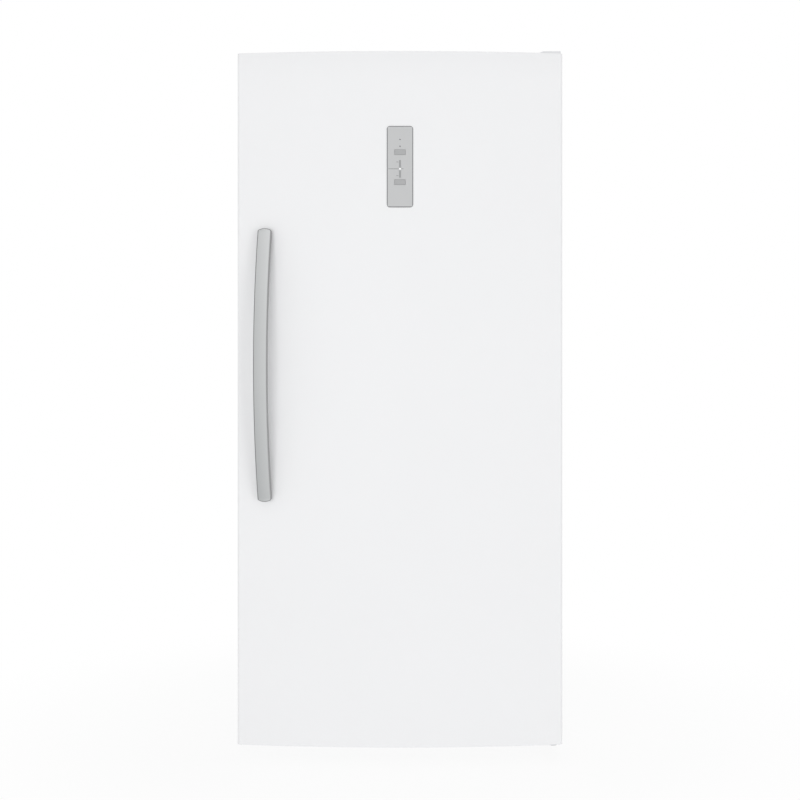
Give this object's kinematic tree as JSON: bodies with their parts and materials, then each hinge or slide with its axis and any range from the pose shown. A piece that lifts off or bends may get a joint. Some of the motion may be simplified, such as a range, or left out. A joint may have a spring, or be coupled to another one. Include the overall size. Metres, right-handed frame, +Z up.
{
  "type": "single door refrigerator",
  "caption": "Upright single door refrigerator: bowed door with a long bar handle and a small control panel, shelves, drawers and door bins inside, machine space at the back.",
  "frame": {"origin": "on the floor, under the middle of the object's width and depth", "axes": "+Z up, +X to the right as seen from the front, +Y from the door to the back"},
  "size_m": [0.813, 0.7259, 1.786],
  "materials": {
    "white_enamel": "smooth white enamel on steel, soft gloss",
    "zinc_steel": "galvanised sheet steel with faint spangle",
    "insulation": "rigid polyurethane foam, pale yellow",
    "white_plastic": "white vacuum formed or moulded plastic",
    "clear_plastic": "clear moulded polystyrene",
    "shelf_glass": "toughened float glass",
    "lamp_diffuser": "frosted diffuser",
    "satin_metal": "satin brushed along its length",
    "silver_plastic": "silver painted plastic",
    "gray_plastic": "grey moulded plastic",
    "circuit_board": "green solder mask",
    "gasket_vinyl": "soft pale grey vinyl",
    "black_rubber": "black rubber",
    "black_enamel": "black enamel on pressed steel",
    "mill_aluminium": "mill finish fins",
    "copper": "drawn copper tube",
    "heater_sheath": "heat tinted steel sheath",
    "cover_board": "grey painted louvred plate"
  },
  "bodies": {
    "cabinet": {"cabinet_shell": "white_enamel", "front_rail": "white_enamel", "bottom_plate": "white_enamel", "rear_panel": "zinc_steel", "compressor_tray": "zinc_steel", "top_hinge": "zinc_steel", "bottom_hinge": "zinc_steel", "hinge_screws": "zinc_steel", "roller_brackets": "zinc_steel", "cabinet_foam": "insulation", "cabinet_liner": "white_plastic", "top_hinge_cover": "white_plastic", "toe_grille": "white_plastic", "shelf_frames": "white_plastic", "drawer_cover": "white_plastic", "evaporator_cover": "white_plastic", "drain_trough": "white_plastic", "light_switch_body": "white_plastic", "shelf_glass": "shelf_glass", "lamp_lens": "lamp_diffuser", "relay_box": "gray_plastic", "drain_pan": "gray_plastic", "cord_gland": "gray_plastic", "compressor_grommets": "black_rubber", "compressor": "black_enamel", "condenser_coil": "black_enamel", "condenser_fan_motor": "black_enamel", "evaporator_fan_motor": "black_enamel", "evaporator_coil": "mill_aluminium", "refrigerant_pipes": "copper", "defrost_heater": "heater_sheath", "machine_cover": "cover_board"},
    "door": {"door_skin": "white_enamel", "door_foam": "insulation", "door_liner": "white_plastic", "door_caps": "white_plastic", "door_gasket": "gasket_vinyl", "door_bushes": "gray_plastic", "handle_bar": "satin_metal", "handle_mounts": "satin_metal", "control_fascia": "silver_plastic", "control_housing": "gray_plastic", "control_board": "circuit_board", "light_bar": "lamp_diffuser", "dairy_box": "clear_plastic"},
    "button_upper": {"button_upper": "silver_plastic"},
    "button_lower": {"button_lower": "silver_plastic"},
    "door_bin_1": {"door_bin_1": "clear_plastic"},
    "door_bin_2": {"door_bin_2": "clear_plastic"},
    "door_bin_3": {"door_bin_3": "clear_plastic"},
    "dairy_flap": {"dairy_flap": "clear_plastic"},
    "crisper_left": {"crisper_left": "clear_plastic"},
    "crisper_right": {"crisper_right": "clear_plastic"},
    "light_switch_plunger": {"light_switch_plunger": "white_plastic"},
    "evaporator_fan": {"evaporator_fan": "gray_plastic"},
    "condenser_fan": {"condenser_fan": "gray_plastic"},
    "leveling_leg_left": {"leveling_leg_left": "gray_plastic"},
    "leveling_leg_right": {"leveling_leg_right": "gray_plastic"},
    "roller_left": {"roller_left": "gray_plastic"},
    "roller_right": {"roller_right": "gray_plastic"}
  },
  "joints": [
    {"name": "door_hinge", "type": "hinge", "parent": "cabinet", "child": "door", "pos_m": [0.386, -0.262, 0.9], "axis": [0, 0, 1], "range_deg": [0, 130]},
    {"name": "button_upper_press", "type": "slide", "parent": "door", "child": "button_upper", "axis": [0, 1, 0], "range_m": [0, 0.0008], "stiffness_N_per_m": 1500, "springref_m": -0.0004},
    {"name": "button_lower_press", "type": "slide", "parent": "door", "child": "button_lower", "axis": [0, 1, 0], "range_m": [0, 0.0008], "stiffness_N_per_m": 1500, "springref_m": -0.0004},
    {"name": "bin_1_lift", "type": "slide", "parent": "door", "child": "door_bin_1", "axis": [0, 0, 1], "range_m": [0, 0.025]},
    {"name": "bin_2_lift", "type": "slide", "parent": "door", "child": "door_bin_2", "axis": [0, 0, 1], "range_m": [0, 0.025]},
    {"name": "bin_3_lift", "type": "slide", "parent": "door", "child": "door_bin_3", "axis": [0, 0, 1], "range_m": [0, 0.025]},
    {"name": "dairy_flap_hinge", "type": "hinge", "parent": "door", "child": "dairy_flap", "pos_m": [0, -0.149, 1.522], "axis": [1, 0, 0], "range_deg": [0, 100]},
    {"name": "crisper_left_slide", "type": "slide", "parent": "cabinet", "child": "crisper_left", "axis": [0, -1, 0], "range_m": [0, 0.085]},
    {"name": "crisper_right_slide", "type": "slide", "parent": "cabinet", "child": "crisper_right", "axis": [0, -1, 0], "range_m": [0, 0.085]},
    {"name": "light_switch_travel", "type": "slide", "parent": "cabinet", "child": "light_switch_plunger", "axis": [0, -1, 0], "range_m": [0, 0.008]},
    {"name": "evaporator_fan_spin", "type": "hinge", "parent": "cabinet", "child": "evaporator_fan", "pos_m": [0, 0.274, 0.892], "axis": [0, 1, 0], "continuous": true},
    {"name": "condenser_fan_spin", "type": "hinge", "parent": "cabinet", "child": "condenser_fan", "pos_m": [-0.186, 0.249, 0.15], "axis": [1, 0, 0], "continuous": true},
    {"name": "leveling_left_turn", "type": "hinge", "parent": "cabinet", "child": "leveling_leg_left", "pos_m": [-0.33, -0.129, 0.02], "axis": [0, 0, 1], "continuous": true},
    {"name": "leveling_right_turn", "type": "hinge", "parent": "cabinet", "child": "leveling_leg_right", "pos_m": [0.33, -0.129, 0.02], "axis": [0, 0, 1], "continuous": true},
    {"name": "roller_left_roll", "type": "hinge", "parent": "cabinet", "child": "roller_left", "pos_m": [-0.345, 0.301, 0.018], "axis": [1, 0, 0], "continuous": true},
    {"name": "roller_right_roll", "type": "hinge", "parent": "cabinet", "child": "roller_right", "pos_m": [0.345, 0.301, 0.018], "axis": [1, 0, 0], "continuous": true}
  ],
  "couplings": [
    {"joint": "light_switch_travel", "follows": "door_hinge", "m_per_rad": 0.003525}
  ]
}
